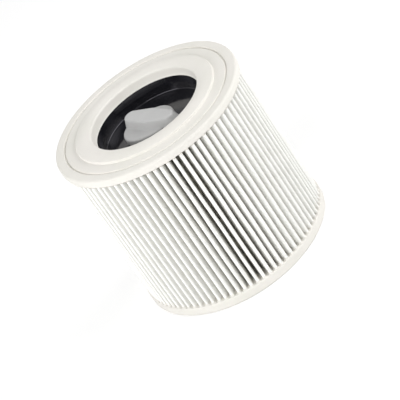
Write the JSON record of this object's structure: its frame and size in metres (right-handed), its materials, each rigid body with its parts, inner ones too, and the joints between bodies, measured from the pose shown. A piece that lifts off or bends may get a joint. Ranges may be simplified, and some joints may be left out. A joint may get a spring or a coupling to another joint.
{
  "type": "pleated vacuum filter cartridge",
  "caption": "Cylindrical pleated filter cartridge for a wet and dry vacuum cleaner, open at one end, with a twist lock knob in the closed end.",
  "frame": {"origin": "centre of the open end cap's underside, on which the cartridge stands", "axes": "+Z along the cartridge's axis, from the open end to the end with the knob"},
  "size_m": [0.117, 0.117, 0.1082],
  "materials": {
    "cap_cream": "satin cast polyurethane",
    "filter_paper": "matte",
    "cage_plastic": "matte",
    "bowl_black": "glossy",
    "knob_grey": "fine satin",
    "key_black": "matte",
    "seal_rubber": "matte"
  },
  "bodies": {
    "filter": {"top_cap": "cap_cream", "bottom_cap": "cap_cream", "pleated_media": "filter_paper", "core_cage": "cage_plastic", "lock_bowl": "bowl_black", "spindle_seal": "seal_rubber"},
    "knob": {"twist_knob": "knob_grey", "lock_key": "key_black"}
  },
  "joints": [
    {"name": "knob_turn", "type": "hinge", "parent": "filter", "child": "knob", "pos_m": [0, 0, 0.0929], "axis": [0, 0, -1], "range_deg": [0, 90]}
  ]
}
